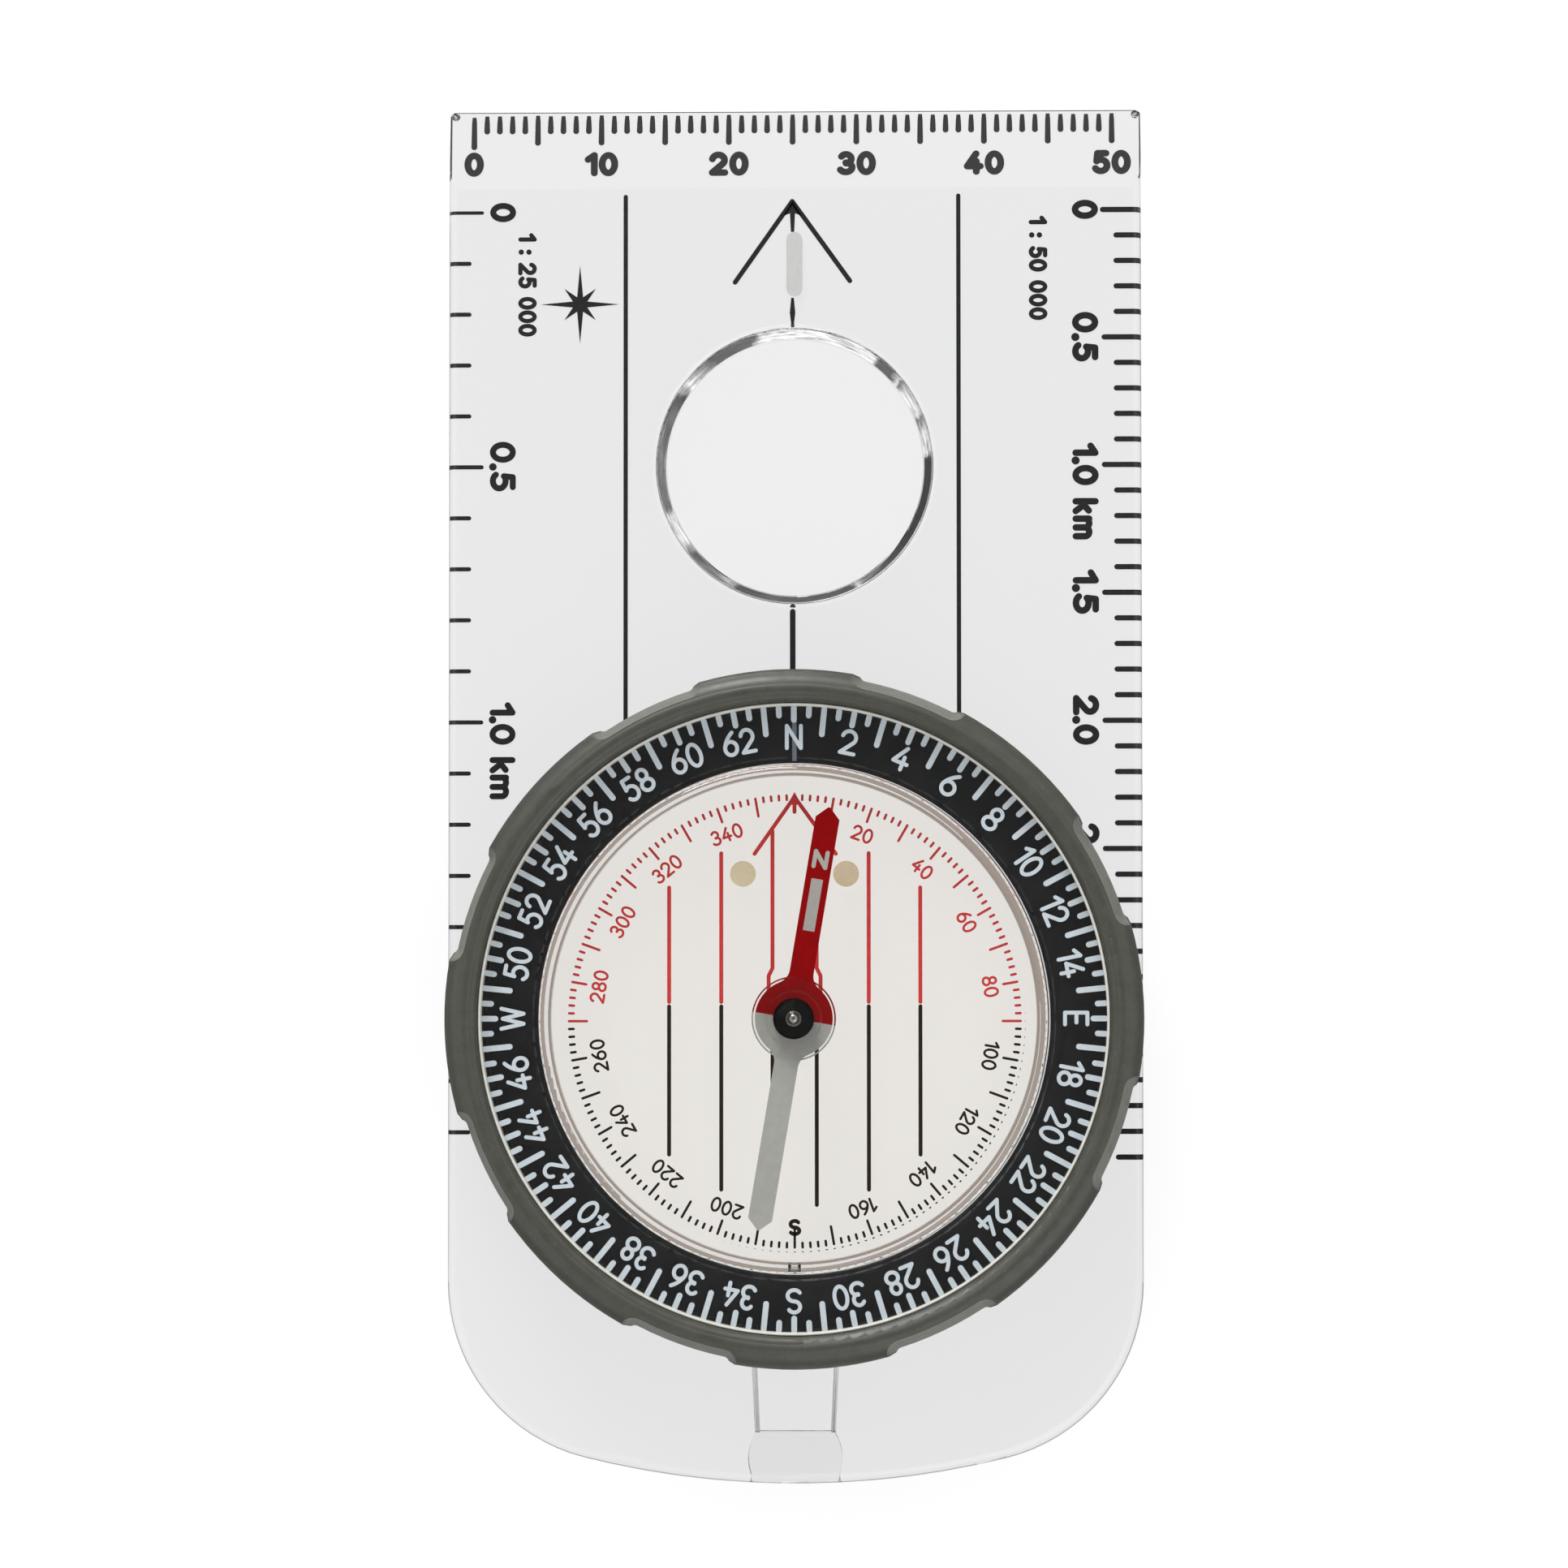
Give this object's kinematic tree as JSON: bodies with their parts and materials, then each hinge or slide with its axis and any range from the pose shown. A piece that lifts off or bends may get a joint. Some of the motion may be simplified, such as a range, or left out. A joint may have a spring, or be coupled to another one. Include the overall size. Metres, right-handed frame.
{
  "type": "baseplate compass",
  "caption": "Clear baseplate compass with a turning liquid-filled dial, a jewelled magnetic needle, a magnifier, map scales and a lanyard eye.",
  "frame": {"origin": "centre of the plate's outline, on its underside", "axes": "+Y towards the ruler edge, the way the travel arrow points; +Z out of the dial side; +X to the right of the arrow"},
  "size_m": [0.054, 0.107, 0.01],
  "materials": {
    "clear_plate": "clear polished acrylic",
    "clear_lens": "clear polished acrylic",
    "clear_capsule": "clear polished acrylic",
    "clear_scale_ring": "clear polished plastic",
    "clear_hub": "clear polished plastic",
    "capsule_floor": "clear plastic with a warm tint",
    "black_ring": "satin black",
    "grip_rubber": "matt grey-green",
    "luminous_white": "matt luminous paint",
    "luminous_cream": "matt luminous paint",
    "index_blue_grey": "matt paint",
    "needle_paint": "gloss enamel, red north and grey south",
    "pivot_steel": "polished",
    "stud_steel": "polished",
    "jewel": "polished",
    "cup_black": "gloss black",
    "plug_grey": "satin"
  },
  "bodies": {
    "base": {"baseplate": "clear_plate", "magnifier_lens": "clear_lens", "travel_arrow_lume": "luminous_white", "index_ring": "black_ring", "index_line_lume": "index_blue_grey"},
    "dial": {"capsule_base": "capsule_floor", "capsule_top": "clear_capsule", "fill_plug": "plug_grey", "capsule_lume_dots": "luminous_cream", "scale_ring": "clear_scale_ring", "grip_ring": "grip_rubber", "pivot_pin": "pivot_steel"},
    "needle": {"needle_blade": "needle_paint", "needle_lume_strip": "luminous_white", "needle_hub": "clear_hub", "bearing_cup": "cup_black", "jewel_bearing": "jewel", "bearing_stud": "stud_steel"}
  },
  "joints": [
    {"name": "dial_turn", "type": "hinge", "parent": "base", "child": "dial", "pos_m": [0, -0.0175, 0.005], "axis": [0, 0, 1], "continuous": true},
    {"name": "needle_swing", "type": "hinge", "parent": "dial", "child": "needle", "pos_m": [0, -0.0175, 0.0057], "axis": [0, 0, 1], "continuous": true}
  ]
}
